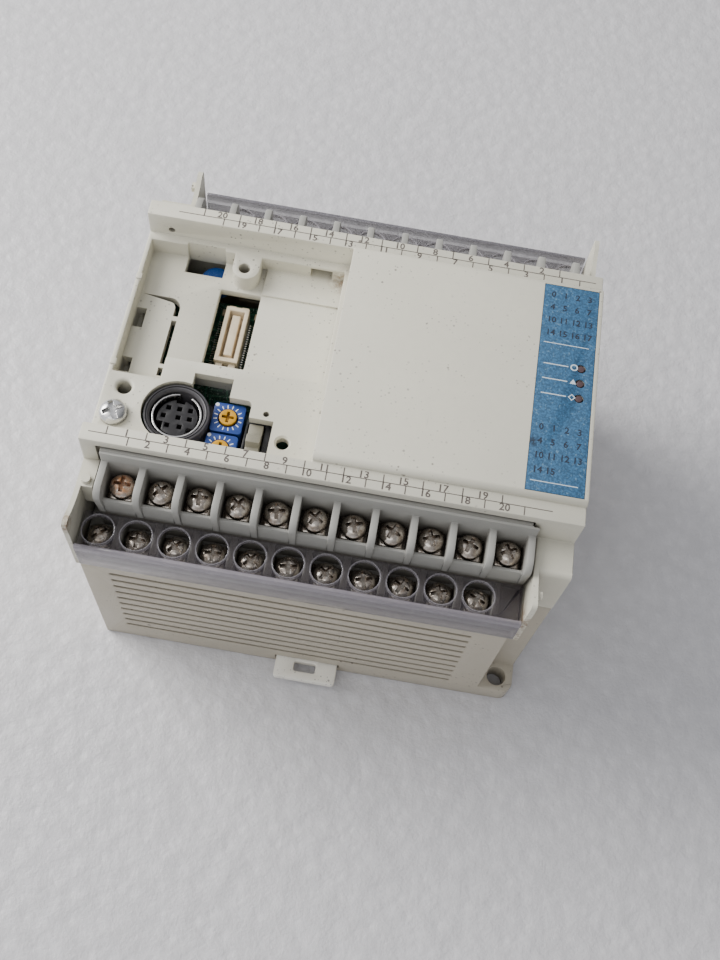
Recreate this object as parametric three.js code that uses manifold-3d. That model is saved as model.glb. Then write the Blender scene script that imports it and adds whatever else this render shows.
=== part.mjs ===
// A compact programmable controller for a 35 mm rail: a lower case, an upper housing, two two-tier
// terminal blocks under clear guards, and the boards, socket, trimmers and run switch between them.
// Millimetres, +Z away from the rail, +X along it. The origin is the middle of the mounting face.
import * as THREE from "three";
import { mergeVertices } from "three/addons/utils/BufferGeometryUtils.js";
import Module from "manifold-3d";

const wasm = await Module();
wasm.setup();

// ---- driving dimensions ----
const WIDTH = 100; // along the rail
const DEPTH = 90; // lower case, across the rail
const HEIGHT = 75; // mounting face to the raised face
const WALL = 2;
const GAP = 0.3; // clearance between neighbouring pieces
const HALF_W = WIDTH / 2;
const HALF_D = DEPTH / 2;

const SEAM = 47.5; // joint between lower case and upper housing
const STRIP_TOP = 73.4; // marking strips beside the raised face
const STRIP_IN = 26.2;
const STRIP_OUT = 30.1;
const LEDGE = 67.3; // rim of the option recess, and the port deck
const FLOOR = 63; // floor of the option recess
const FACE_LEFT = -4.5; // left edge of the raised face
const RIM_LEFT = -5.8;
const RECESS_BACK = 24.2;
const RECESS_FRONT = -4.8;
const RECESS_LEFT = -49;

const NOTCH_X = 41.8; // corner notches over the screw tabs
const NOTCH_Y = 37.8;
const TAB_TOP = 6.5;
const TAB_HOLE = { x: 46, y: -41.4, r: 2.25 };

const RAIL_HALF = 17.8; // half the rail channel
const RAIL_DEPTH = 8;
const HOOK_Z = [4.4, 6.2]; // fixed hooks and latch claw, behind the rail's flange

const PITCH = 7.83; // terminal spacing
const TERMINALS = 11; // terminals in a row
const UPPER_X = -41.2; // first terminal of the upper row
const UPPER_Y = -34.2;
const LOWER_X = -45.2; // first terminal of the lower row
const LOWER_Y = -41.5;
const UPPER_SEAT = 60.5; // deck under the upper terminals
const LOWER_SEAT = 50.5;
const TIER_FRONT = -37.5; // front of the upper tier
const BLOCK_BACK = -30.7;
const BLOCK_LEFT = -48.7;
const BLOCK_RIGHT = NOTCH_X + 0.2;
const FENCE = 1.5; // thickness of the walls between terminals
const GUARD_BACK = -37.9;
const GUARD_FRONT = -46.9;
const GUARD_FOOT = 49.8; // lower edge of the guard's front wall
const GUARD_TOP = 57.2;
const GUARD_RIM = 58.7; // upstanding rim along the guard's front edge
const EAR_TOP = 66.8;

// ---- shape helpers ----
const SNAP = 1e4; // coordinates are rounded to a ten-thousandth, so that shared planes stay shared

function solid(geometry) {
  geometry.deleteAttribute("normal");
  geometry.deleteAttribute("uv");
  const at = geometry.attributes.position;
  for (let i = 0; i < at.array.length; i += 1) at.array[i] = Math.round(at.array[i] * SNAP) / SNAP;
  const merged = mergeVertices(geometry, 0.5 / SNAP);
  return new wasm.Manifold(
    new wasm.Mesh({
      numProp: 3,
      vertProperties: merged.attributes.position.array,
      triVerts: new Uint32Array(merged.index.array),
    }),
  );
}

function geometryOf(body) {
  const { vertProperties, triVerts } = body.getMesh();
  const geometry = new THREE.BufferGeometry();
  geometry.setAttribute("position", new THREE.BufferAttribute(new Float32Array(vertProperties), 3));
  geometry.setIndex(new THREE.BufferAttribute(new Uint32Array(triVerts), 1));
  return geometry;
}

// A block between two limits along each axis.
function block([x1, x2], [y1, y2], [z1, z2]) {
  const box = new THREE.BoxGeometry(x2 - x1, y2 - y1, z2 - z1);
  return solid(box.translate((x1 + x2) / 2, (y1 + y2) / 2, (z1 + z2) / 2));
}

// A round post along Z, or a taper when the top has a radius of its own.
function post(x, y, [z1, z2], r, sides = 24, rTop = r) {
  const round = new THREE.CylinderGeometry(rTop, r, z2 - z1, sides);
  return solid(round.rotateX(Math.PI / 2).translate(x, y, (z1 + z2) / 2));
}

// An outline in X and Y, raised between two heights.
function raised(shape, [z1, z2], curveSegments = 6) {
  const slab = new THREE.ExtrudeGeometry(shape, { depth: z2 - z1, bevelEnabled: false, curveSegments });
  return solid(slab.translate(0, 0, z1));
}

// An outline in Y and Z, drawn out along X.
const YZ_ALONG_X = new THREE.Matrix4().set(0, 0, 1, 0, 1, 0, 0, 0, 0, 1, 0, 0, 0, 0, 0, 1);
function alongX(shape, [x1, x2], curveSegments = 5) {
  const bar = new THREE.ExtrudeGeometry(shape, { depth: x2 - x1, bevelEnabled: false, curveSegments });
  return solid(bar.applyMatrix4(YZ_ALONG_X).translate(x1, 0, 0));
}

function outline(points) {
  return new THREE.Shape(points.map(([x, y]) => new THREE.Vector2(x, y)));
}

function roundedBox([x1, x2], [y1, y2], r) {
  const shape = new THREE.Shape();
  shape.absarc(x2 - r, y2 - r, r, 0, Math.PI / 2);
  shape.absarc(x1 + r, y2 - r, r, Math.PI / 2, Math.PI);
  shape.absarc(x1 + r, y1 + r, r, Math.PI, 1.5 * Math.PI);
  shape.absarc(x2 - r, y1 + r, r, 1.5 * Math.PI, 2 * Math.PI);
  return shape;
}

const joined = (bodies) => bodies.reduce((whole, body) => whole.add(body));
const cut = (body, tools) => body.subtract(joined(tools));
const halfTurn = (body) => solid(geometryOf(body).rotateZ(Math.PI));
const both = (body) => body.add(halfTurn(body));
const each = (count, make) => Array.from({ length: count }, (_, i) => make(i));

// ---- the assembly ----
const controller = new THREE.Group();

function place(name, body, color, roughness, metalness = 0, extra = {}) {
  const material = new THREE.MeshStandardMaterial({ color, roughness, metalness, ...extra });
  const mesh = new THREE.Mesh(geometryOf(body), material);
  mesh.name = name;
  controller.add(mesh);
}

const CASE_GREY = 0xcdcbc0;
const BLOCK_GREY = 0xa9a7a3;
const CLEAR = { transparent: true, opacity: 0.45 };

// ---- lower case: a tray with the rail channel, the latch slot and two screw tabs ----
function caseOutline(inset) {
  const x = HALF_W - inset;
  const y = HALF_D - inset;
  const nx = NOTCH_X - inset;
  const ny = NOTCH_Y - inset;
  return outline([[-x, -y], [nx, -y], [nx, -ny], [x, -ny], [x, y], [-nx, y], [-nx, ny], [-x, ny]]);
}

function screwTab() {
  const radius = 2.5;
  const tab = raised(roundedBox([NOTCH_X - 4, HALF_W], [-HALF_D, -NOTCH_Y + 4], radius), [0, TAB_TOP]);
  const square = block([NOTCH_X - 4, NOTCH_X + radius], [-HALF_D, -NOTCH_Y + 1], [0, TAB_TOP]);
  return tab.add(square);
}

const LATCH_HALF = 7.5;
const LATCH_Z = [1.7, 3.9];
const LATCH_TRAVEL = 4.5;
const CLAW_BACK = -19.8;

function latchSlot() {
  const lip = 1.7; // the slot is narrower at the mounting face, so that the latch cannot fall out
  const clear = [-LATCH_HALF - GAP, LATCH_HALF + GAP];
  const along = [-HALF_D - 1, -RAIL_HALF + 1];
  return joined([
    block(clear, along, [LATCH_Z[0] - GAP, LATCH_Z[1] + GAP]),
    block([-LATCH_HALF + lip, LATCH_HALF - lip], along, [-1, LATCH_Z[0]]),
    block(clear, [CLAW_BACK - LATCH_TRAVEL - GAP, along[1]], [-1, HOOK_Z[1] + GAP]),
  ]);
}

const VENTS = 10;
const VENT_PITCH = 3.66;
const VENT_FIRST = 8.2;
const VENT_X = [-44.1, 34.6];
const VENT_HALF = 0.5; // half the width of the louvre at the outer face
const VENT_DROP = 0.85; // how far a louvre falls towards the inside

function vent(i) {
  const z = VENT_FIRST + i * VENT_PITCH;
  const [outside, face, inside] = [-HALF_D - 1, -HALF_D, -HALF_D + WALL + 0.6];
  const [low, high] = [z - VENT_HALF, z + VENT_HALF];
  const louvre = outline([[outside, low], [face, low], [inside, low - VENT_DROP],
    [inside, high - VENT_DROP], [face, high], [outside, high]]);
  return alongX(louvre, VENT_X);
}

function baseCase() {
  const rim = SEAM - GAP;
  const shell = cut(raised(caseOutline(0), [0, rim]), [
    cut(raised(caseOutline(WALL), [WALL, rim + 1]), [
      block([-HALF_W, HALF_W], [-RAIL_HALF - WALL, RAIL_HALF + WALL], [0, RAIL_DEPTH + WALL]),
      block([-LATCH_HALF - 2.5, LATCH_HALF + 2.5], [-HALF_D, 0], [0, HOOK_Z[1] + 2.3]),
    ]),
  ]);
  const channel = block([-HALF_W - 1, HALF_W + 1], [-RAIL_HALF, RAIL_HALF], [-1, RAIL_DEPTH]);
  const hookProfile = outline([[RAIL_HALF + 0.5, HOOK_Z[0] - 1.6], [RAIL_HALF + 0.5, HOOK_Z[1]],
    [16, HOOK_Z[1]], [16, HOOK_Z[0] + 0.6], [RAIL_HALF - 0.4, HOOK_Z[0] - 1.6]]);
  const hooks = [alongX(hookProfile, [-38, -22]), alongX(hookProfile, [22, 38])];
  const standoffs = [-30, 30].flatMap((x) => [-31, 31].map((y) => post(x, y, [WALL - 0.5, 13.4], 2.6, 16)));
  const vents = joined(each(VENTS, vent));
  const holes = both(post(TAB_HOLE.x, TAB_HOLE.y, [-1, TAB_TOP + 1], TAB_HOLE.r));
  const body = cut(both(screwTab()).add(shell), [channel, latchSlot(), both(vents), holes]);
  return joined([body, ...hooks, ...standoffs]);
}

// The latch slides in the slot, and its claw closes on the rail's lower flange.
function dinLatch() {
  const end = -50;
  const tongue = raised(roundedBox([-LATCH_HALF, LATCH_HALF], [end, CLAW_BACK + 1], 0.8), LATCH_Z);
  const claw = outline([[CLAW_BACK, LATCH_Z[0]], [-17.6, LATCH_Z[0]], [-15.9, HOOK_Z[0] + 0.4],
    [-15.9, HOOK_Z[1]], [CLAW_BACK, HOOK_Z[1]]]);
  const pull = raised(roundedBox([-2.9, 2.4], [-48, -45.6], 0.5), [0, HOOK_Z[1]]);
  return cut(tongue.add(alongX(claw, [-LATCH_HALF + 2, LATCH_HALF - 2])), [pull]);
}

place("base_case", baseCase(), 0xb9b6a9, 0.62);
place("din_latch", dinLatch(), 0xe4e0d2, 0.5);

// ---- upper housing ----
const SOCKET = { x: -34, y: -17.3, r: 6.8 };
const TRIMMERS = [{ x: -23.7, y: -15.5 }, { x: -23.9, y: -22.8 }];
const GROUND = { x: -46.2, y: -20.2 };
const DECK_HOLE = { x: -45.7, y: -13.6, r: 1.5 };
const DECK_BORE = { x: -11.4, y: -20.3, r: 1.35 };
const OPTION_BOSS = { x: -27.3, y: 20.9, r: 3 };
const LAMPS = [["power_lamp", 4.6], ["run_lamp", 1], ["error_lamp", -2.6]];
const LAMP_X = 46.4;
const LABEL = { x: [37.3, 49], y: [-25, 24.6] };

// The thin wall beside each terminal block, with the pin that a terminal cover snaps on to.
function earProfile() {
  const ear = new THREE.Shape();
  ear.moveTo(-STRIP_OUT + 1, SEAM);
  ear.lineTo(-STRIP_OUT + 1, LEDGE - 2.3);
  ear.lineTo(-37, LEDGE - 2.3);
  ear.quadraticCurveTo(-41, LEDGE - 2.1, -44.2, EAR_TOP);
  ear.absarc(-45, EAR_TOP - 1, 1, Math.PI / 2, Math.PI);
  ear.lineTo(-46, SEAM);
  return ear;
}

function cornerEars() {
  const profile = earProfile();
  const outer = alongX(profile, [-HALF_W, -HALF_W + 1]);
  const shoulder = block([-HALF_W, -46.7], [-36.2, -STRIP_OUT + 1], [58, LEDGE - 2.3]);
  const stud = post(-48.2, -34.8, [LEDGE - 3, LEDGE - 1.3], 1.1, 16, 0.9);
  const inner = alongX(profile, [NOTCH_X + 0.5, NOTCH_X + 1.6]);
  const pin = block([NOTCH_X + 1, NOTCH_X + 2.6], [-43.4, -41.8], [EAR_TOP - 3, EAR_TOP - 1.5]);
  const corner = alongX(cornerProfile(), [NOTCH_X + 0.5, HALF_W]);
  return joined([outer, shoulder, stud, inner, pin, corner]);
}

// The stepped block that fills the corner above each screw tab.
function cornerProfile() {
  const top = LEDGE - 2.3;
  const r = 1.3;
  const shape = new THREE.Shape();
  shape.moveTo(-STRIP_OUT + 1, SEAM);
  shape.lineTo(-STRIP_OUT + 1, top);
  shape.absarc(-NOTCH_Y + r, top - r, r, Math.PI / 2, Math.PI);
  shape.lineTo(-NOTCH_Y, SEAM);
  return shape;
}

function raisedFace() {
  const r = 1.5;
  const profile = new THREE.Shape();
  profile.moveTo(-STRIP_IN, STRIP_TOP - 1);
  profile.lineTo(STRIP_IN, STRIP_TOP - 1);
  profile.absarc(STRIP_IN - r, HEIGHT - r, r, 0, Math.PI / 2);
  profile.absarc(-STRIP_IN + r, HEIGHT - r, r, Math.PI / 2, Math.PI);
  return alongX(profile, [FACE_LEFT, HALF_W]);
}

// Open space of the option recess, above its floor and inside its rim.
function recessSpace() {
  const top = HEIGHT + 5;
  return joined([
    block([-HALF_W - 1, FACE_LEFT], [-STRIP_IN, STRIP_IN], [LEDGE, top]),
    block([RECESS_LEFT, RIM_LEFT], [RECESS_FRONT, RECESS_BACK], [FLOOR, top]),
    block([RECESS_LEFT, -39], [-10.2, RECESS_FRONT + 1], [FLOOR, top]),
  ]);
}

// The break-out line in the recess floor, with the two slots at the foot of the left wall.
function floorSlots() {
  const w = 0.55;
  const z = [FLOOR - 4, FLOOR + 1];
  const bend = new THREE.Shape();
  bend.moveTo(-48.6, 12.1 - w);
  bend.absarc(-42.4, 10.1, 2 - w, Math.PI / 2, 0, true);
  bend.lineTo(-40.4 - w, 8);
  bend.lineTo(-40.4 + w, 8);
  bend.absarc(-42.4, 10.1, 2 + w, 0, Math.PI / 2);
  bend.lineTo(-48.6, 12.1 + w);
  return joined([
    raised(bend, z, 5),
    block([-40.4 - w, -40.4 + w], [-4.3, 6.9], z),
    block([-40.4 - w, -40.4 + w], [-7.3, -5.3], z),
    block([RECESS_LEFT, -46.8], [3.8, 8.8], z),
    block([RECESS_LEFT, -46.8], [-7.6, -4], z),
  ]);
}

// Windows through the recess floor and the port deck.
function deckWindows() {
  const z = [FLOOR - 4, LEDGE + 1];
  const controls = new THREE.Shape();
  controls.moveTo(-32.2, -7.6);
  controls.lineTo(-32.2, -26);
  controls.lineTo(-14.1, -26);
  controls.lineTo(-14.1, -15.8);
  controls.lineTo(-19.2, -15.8);
  controls.absarc(-20.2, -13, 1, 0, Math.PI / 2);
  controls.lineTo(-24, -12);
  controls.lineTo(-24, -7.6);
  return joined([
    block([-32.2, -23.2], [-2.2, 17.1], z),
    block([-41, -32.6], [20.2, 25], z),
    raised(controls, z),
    post(SOCKET.x, SOCKET.y, z, SOCKET.r + 0.4, 32),
    post(DECK_HOLE.x, DECK_HOLE.y, z, DECK_HOLE.r),
    post(DECK_HOLE.x, DECK_HOLE.y, [LEDGE - 0.5, LEDGE + 0.1], DECK_HOLE.r, 24, DECK_HOLE.r + 0.6),
    post(DECK_BORE.x, DECK_BORE.y, z, DECK_BORE.r),
    post(DECK_BORE.x, DECK_BORE.y, [LEDGE - 0.4, LEDGE + 0.1], DECK_BORE.r, 24, DECK_BORE.r + 0.5),
    post(GROUND.x, GROUND.y, z, 1.7, 16),
    post(-15.9, -14.4, z, 0.65, 12),
  ]);
}

// Everything under the skin: room for the boards, and for the terminal blocks on both sides.
function housingInside() {
  const skin = 2;
  const side = HALF_W - WALL;
  const bay = [-46.8, 40.7];
  const terminalBay = joined([
    block([-46.7, NOTCH_X + 0.5], [-HALF_D - 2, -30.6], [SEAM - 1, STRIP_TOP - 2.2]),
    block(bay, [-STRIP_OUT - 1, -28.8], [SEAM - 1, STRIP_TOP - 2.2]),
  ]);
  return joined([
    block([-side, side], [-27.6, 27.6], [SEAM - 1, FLOOR - skin]),
    block([-side, RIM_LEFT], [-24.6, -12.2], [SEAM, LEDGE - skin]),
    block([-37, RIM_LEFT], [-27.6, RECESS_FRONT - WALL], [SEAM, LEDGE - skin]),
    block([FACE_LEFT + WALL, side], [-24.4, 24.4], [SEAM, HEIGHT - skin]),
    both(terminalBay),
  ]);
}

function topCase() {
  const skirt = block([-HALF_W, HALF_W], [-STRIP_OUT, STRIP_OUT], [SEAM, STRIP_TOP]);
  const boss = joined([
    post(OPTION_BOSS.x, OPTION_BOSS.y, [FLOOR - 1, LEDGE], OPTION_BOSS.r),
    block([OPTION_BOSS.x - 3, OPTION_BOSS.x + 3], [OPTION_BOSS.y, RECESS_BACK + 0.5], [FLOOR - 1, LEDGE]),
  ]);
  const step = block([-23.2, RIM_LEFT], [17.1, RECESS_BACK + 0.5], [FLOOR - 1, FLOOR + 0.6]);
  const nubs = [13.8, -8.2].map((y) =>
    block([-HALF_W, -48.6], [y - 0.8, y + 0.8], [LEDGE - 0.5, LEDGE + 0.5]));
  const shell = joined([cut(skirt, [housingInside()]), cornerEars(), halfTurn(cornerEars())]);
  const faced = cut(shell.add(cut(raisedFace(), [housingInside()])), [recessSpace()]);
  const deck = joined([faced, boss, step, ...nubs]);
  const [lx, ly] = [LABEL.x, LABEL.y];
  return cut(deck, [
    deckWindows(),
    floorSlots(),
    post(OPTION_BOSS.x - 0.3, OPTION_BOSS.y - 0.2, [FLOOR - 4, LEDGE + 1], 1.25, 16),
    block([-13.4, -8.6], [RECESS_BACK - 0.2, 26.6], [FLOOR + 0.6, FLOOR + 3.4]),
    block([lx[0] - 0.1, lx[1] + 0.1], [ly[0] - 0.1, ly[1] + 0.1], [HEIGHT - 0.4, HEIGHT + 1]),
    ...LAMPS.map(([, y]) => post(LAMP_X, y, [HEIGHT - 4, HEIGHT + 1], 1, 16)),
  ]);
}

place("top_case", topCase(), CASE_GREY, 0.6);

function statusLabel() {
  const sheet = block(LABEL.x, LABEL.y, [HEIGHT - 0.3, HEIGHT]);
  return cut(sheet, LAMPS.map(([, y]) => post(LAMP_X, y, [HEIGHT - 1, HEIGHT + 1], 1, 16)));
}
place("status_label", statusLabel(), 0x3f7fb0, 0.55);
for (const [name, y] of LAMPS) place(name, post(LAMP_X, y, [56.4, HEIGHT - 0.1], 0.75, 12), 0x2a2a33, 0.3);

// ---- terminal blocks, their guards and screws ----
const TIER_TOP = 67.7;
const FENCE_FRONT = -38.8; // the upper fences overhang the tier and the guard's back edge
const FENCE_CORNER = 2.6;
const LOWER_FENCE_TOP = 55.7;
const BORE_R = 1.75; // clearance round a screw's shank

function fenceProfile() {
  const bottom = GUARD_TOP + GAP;
  const shape = new THREE.Shape();
  shape.moveTo(BLOCK_BACK, bottom);
  shape.lineTo(BLOCK_BACK, TIER_TOP);
  shape.absarc(FENCE_FRONT + FENCE_CORNER, TIER_TOP - FENCE_CORNER, FENCE_CORNER, Math.PI / 2, Math.PI);
  shape.lineTo(FENCE_FRONT + 1, bottom);
  return shape;
}

function lowerWall(x, top) {
  return block(x, [-HALF_D + 0.6, TIER_FRONT + 1], [LOWER_SEAT - 1, top]);
}

function terminalBlock() {
  const left = UPPER_X - PITCH / 2 - FENCE / 2;
  const right = left + TERMINALS * PITCH + FENCE;
  const low = block([BLOCK_LEFT, BLOCK_RIGHT], [-HALF_D + 0.4, BLOCK_BACK], [SEAM + GAP, LOWER_SEAT]);
  const high = block([left, right], [TIER_FRONT, BLOCK_BACK], [LOWER_SEAT - 1, UPPER_SEAT]);
  const lip = block([left, right], [TIER_FRONT - 0.3, TIER_FRONT + 0.4], [UPPER_SEAT - 2, UPPER_SEAT + 2.9]);
  const screen = block([left, right], [BLOCK_BACK - 0.6, BLOCK_BACK], [UPPER_SEAT - 1, STRIP_TOP - 2.6]);
  const rib = block([left, 40.4], [BLOCK_BACK - 0.1, -29.1], [UPPER_SEAT - 1, STRIP_TOP - 2.5]);
  const upperFences = each(TERMINALS + 1, (i) =>
    alongX(fenceProfile(), [left + i * PITCH, left + i * PITCH + FENCE], 4));
  const lowerFences = each(TERMINALS, (i) => {
    const x = LOWER_X + (i + 0.5) * PITCH;
    return lowerWall([x - FENCE / 2, x + FENCE / 2], LOWER_FENCE_TOP);
  });
  const blank = lowerWall([LOWER_X + (TERMINALS - 0.5) * PITCH, BLOCK_RIGHT], LOWER_FENCE_TOP - 1.5);
  const bores = [...each(TERMINALS, (i) => post(UPPER_X + i * PITCH, UPPER_Y, [55.5, HEIGHT], BORE_R, 8)),
    ...each(TERMINALS, (i) => post(LOWER_X + i * PITCH, LOWER_Y, [48.6, HEIGHT], BORE_R, 8))];
  return cut(joined([low, high, lip, screen, rib, blank, ...upperFences, ...lowerFences]), bores);
}

// A clear angle over the lower terminals, with a driver hole above each screw.
function terminalGuard() {
  const t = 1.1;
  const profile = new THREE.Shape();
  profile.moveTo(GUARD_BACK, GUARD_TOP - t);
  profile.lineTo(GUARD_BACK, GUARD_TOP);
  profile.lineTo(GUARD_FRONT + t, GUARD_TOP);
  profile.absarc(GUARD_FRONT + t / 2, GUARD_RIM - t / 2, t / 2, 0, Math.PI);
  profile.lineTo(GUARD_FRONT, GUARD_FOOT);
  profile.lineTo(GUARD_FRONT + t, GUARD_FOOT);
  profile.lineTo(GUARD_FRONT + t, GUARD_TOP - t);
  const hole = (i) => post(LOWER_X + i * PITCH, LOWER_Y - 0.1, [GUARD_TOP - 3, GUARD_TOP + 1], 3.2, 18);
  return cut(alongX(profile, [BLOCK_LEFT, BLOCK_RIGHT], 4), each(TERMINALS, hole));
}

const frontBlock = terminalBlock();
const frontGuard = terminalGuard();
place("front_terminal_block", frontBlock, BLOCK_GREY, 0.55);
place("back_terminal_block", halfTurn(frontBlock), BLOCK_GREY, 0.55);
place("front_terminal_guard", frontGuard, 0x8d8793, 0.15, 0, CLEAR);
place("back_terminal_guard", halfTurn(frontGuard), 0x8d8793, 0.15, 0, CLEAR);

// A pan-head screw with a cross recess, standing on its seat.
function panScrew(x, y, seat, headR, headH, shankR, shankEnd) {
  const profile = [[0, shankEnd], [shankR, shankEnd], [shankR, seat], [headR, seat],
    [headR, seat + headH * 0.5], [headR * 0.66, seat + headH], [0, seat + headH]];
  const turned = new THREE.LatheGeometry(profile.map(([r, z]) => new THREE.Vector2(r, z)), 12);
  const body = solid(turned.rotateX(Math.PI / 2).translate(x, y, 0));
  const arm = headR * 0.62;
  const half = headR * 0.15;
  const depth = [seat + headH * 0.45, seat + headH + 1];
  return cut(body, [block([x - arm, x + arm], [y - half, y + half], depth),
    block([x - half, x + half], [y - arm, y + arm], depth)]);
}

for (let i = 0; i < TERMINALS; i += 1) {
  const upper = panScrew(UPPER_X + i * PITCH, UPPER_Y, UPPER_SEAT + 2.1, 2.6, 2.6, 1.4, 56);
  const lower = panScrew(LOWER_X + i * PITCH, LOWER_Y, LOWER_SEAT + 2.1, 2.6, 2.6, 1.4, 49);
  place(`front_upper_screw_${i + 1}`, upper, 0x9a8f83, 0.35, 0.9);
  place(`front_lower_screw_${i + 1}`, lower, 0x9a8f83, 0.35, 0.9);
}
place("ground_screw", panScrew(GROUND.x, GROUND.y, LEDGE + 0.1, 2.8, 2.1, 1.35, 58.5), 0xc9ccce, 0.25, 1);

// ---- boards and what stands on them ----
const BOARD = [54.4, 56];
const ON_BOARD = BOARD[1] + 0.1;

function mainBoard() {
  const sheet = raised(roundedBox([-46, 47.4], [-25.6, 18.4], 1), BOARD);
  const notch = block([-47, -41], [-27, -23.6], [BOARD[0] - 1, BOARD[1] + 1]);
  return cut(sheet, [notch]);
}
place("main_board", mainBoard(), 0x1d3b2d, 0.6);

function optionConnector() {
  const [x1, x2, y1, y2, top] = [-30.3, -25.2, 0.1, 14.3, 61.2];
  const well = cut(block([x1 + 0.9, x2 - 0.9], [y1 + 1, y2 - 1], [58, top + 1]),
    [block([-28.6, -26.9], [2, 12.4], [57, top - 0.4])]);
  const lugEnds = [[y1 - 0.9, y1 + 0.2], [y2 - 0.2, y2 + 0.9]];
  const lugs = [[x1 + 0.4, x1 + 1.9], [x2 - 1.9, x2 - 0.4]].flatMap((x) =>
    lugEnds.map((y) => block(x, y, [ON_BOARD, top - 1])));
  return cut(joined([block([x1, x2], [y1, y2], [ON_BOARD, top]), ...lugs]), [well]);
}
place("option_connector", optionConnector(), 0xe0d5c1, 0.55);

// Round eight-way socket: body with a well, a spring shield in the well, and the contact core.
const WELL_FLOOR = 60;
const SOCKET_TOP = 66.6;

function socketBody() {
  const { x, y, r } = SOCKET;
  const base = block([x - 6.6, x + 6.6], [y - 6.6, y + 6.6], [ON_BOARD, 60.5]);
  const sides = 32;
  const flange = post(x, y, [WELL_FLOOR, SOCKET_TOP], r, sides);
  const chamfer = post(x, y, [SOCKET_TOP - 0.6, SOCKET_TOP + 0.1], 5.5, sides, 6.1);
  const well = post(x, y, [WELL_FLOOR, SOCKET_TOP + 1], 5.5, sides);
  return cut(base.intersect(post(x, y, [0, HEIGHT], 8.6, sides)).add(flange), [well, chamfer]);
}

function socketShield() {
  const { x, y } = SOCKET;
  const tube = cut(post(x, y, [WELL_FLOOR + GAP, 65.6], 5.15, 32), [post(x, y, [0, 80], 4.8, 32)]);
  const slit = raised(outline([[x, y], [x - 0.6, y + 9], [x + 4.6, y + 9]]), [50, 80]);
  return cut(tube, [slit]);
}

function socketCore() {
  const { x, y } = SOCKET;
  const body = post(x, y, [WELL_FLOOR + GAP, 64.6], 4.2, 32);
  const rows = [[2.1, [-2.2, 0.1, 2.4]], [0.1, [-2.9, 0.2, 2.6]], [-2, [-1.7, 0.9]]];
  const contacts = rows.flatMap(([dy, row]) => row.map((dx) =>
    block([x + dx - 0.5, x + dx + 0.5], [y + dy - 0.5, y + dy + 0.5], [62, 66])));
  const keys = [block([x - 0.9, x + 0.9], [y + 3.4, y + 6], [0, 80]),
    block([x - 6, x - 2.7], [y - 6, y - 1.3], [0, 80]), block([x + 2.4, x + 6], [y - 6, y - 2], [0, 80])];
  return cut(body, [...contacts, ...keys]);
}
place("port_socket_body", socketBody(), 0x2a2a30, 0.5);
place("port_socket_shield", socketShield(), 0xb9bbbd, 0.25, 1);
place("port_socket_core", socketCore(), 0x4a4a50, 0.5);

// Single-turn trimmer: a square body with a rotor sunk in its top.
const TRIMMER_TOP = 64.9;
const ROTOR_R = 1.8;

function trimmerBody({ x, y }) {
  const body = raised(roundedBox([x - 3.3, x + 3.3], [y - 3.4, y + 3.4], 0.7), [ON_BOARD, TRIMMER_TOP], 2);
  return cut(body, [post(x, y, [62.6, 70], ROTOR_R + 0.25, 28)]);
}

function trimmerRotor({ x, y }) {
  const rotor = post(x, y, [62.9, TRIMMER_TOP + 0.5], ROTOR_R, 28);
  const z = [TRIMMER_TOP - 0.5, 70];
  const [arm, half] = [1.25, 0.3];
  return cut(rotor, [block([x - arm, x + arm], [y - half, y + half], z),
    block([x - half, x + half], [y - arm, y + arm], z)]);
}
TRIMMERS.forEach((spot, i) => {
  place(`trimmer_${i + 1}_body`, trimmerBody(spot), 0x2f55a8, 0.45);
  place(`trimmer_${i + 1}_rotor`, trimmerRotor(spot), 0xd9a92b, 0.45);
});

// Run switch: a slider in a black channel.
const SLIDER_X = [-19, -16];
const SLIDER_Y = [-22.2, -16];
const SLIDER_TRAVEL = 2;

function runSwitchBody() {
  const body = block([-19.8, -14.3], [-25, -14.6], [ON_BOARD, 64.2]);
  const track = block([SLIDER_X[0] - 0.3, SLIDER_X[1] + 0.3],
    [SLIDER_Y[0] - SLIDER_TRAVEL - 0.3, SLIDER_Y[1] + 0.3], [61.2, 70]);
  return cut(body, [track]);
}

function runSwitchSlider() {
  const [y1, y2] = SLIDER_Y;
  const profile = outline([[y1, 61.5], [y2, 61.5], [y2, 65.2], [y1 + 3.6, 65], [y1 + 3.2, 66.4],
    [y1 + 1.4, 66.4], [y1 + 0.8, 65], [y1, 65]]);
  return alongX(profile, SLIDER_X);
}
place("run_switch_body", runSwitchBody(), 0x222226, 0.5);
place("run_switch_slider", runSwitchSlider(), 0xb7b2a1, 0.55);

// Power and relay board, low in the case.
const LOW_BOARD = [13.7, 15.3];
const ON_LOW = LOW_BOARD[1] + 0.1;

place("power_board", raised(roundedBox([-46.5, 40.5], [-34, 34], 1.5), LOW_BOARD), 0x2b5a3c, 0.6);
// The transformer: a core with two windows, and a winding round its middle limb.
const WINDOWS = [[-35.5, -29.5], [-24.5, -18.5]];
const WINDOW_Z = [20, 36];
const CORE_Y = [-14, 14];

function transformerWinding() {
  const [[x1, limb1], [limb2, x2]] = WINDOWS;
  const z = [WINDOW_Z[0] + GAP, WINDOW_Z[1] - GAP];
  const build = 4.5;
  const outer = raised(roundedBox([x1 + GAP, x2 - GAP], [CORE_Y[0] - build, CORE_Y[1] + build], 2), z, 3);
  return cut(outer, [block([limb1 - GAP, limb2 + GAP], [CORE_Y[0] - GAP, CORE_Y[1] + GAP], [0, HEIGHT])]);
}

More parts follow.
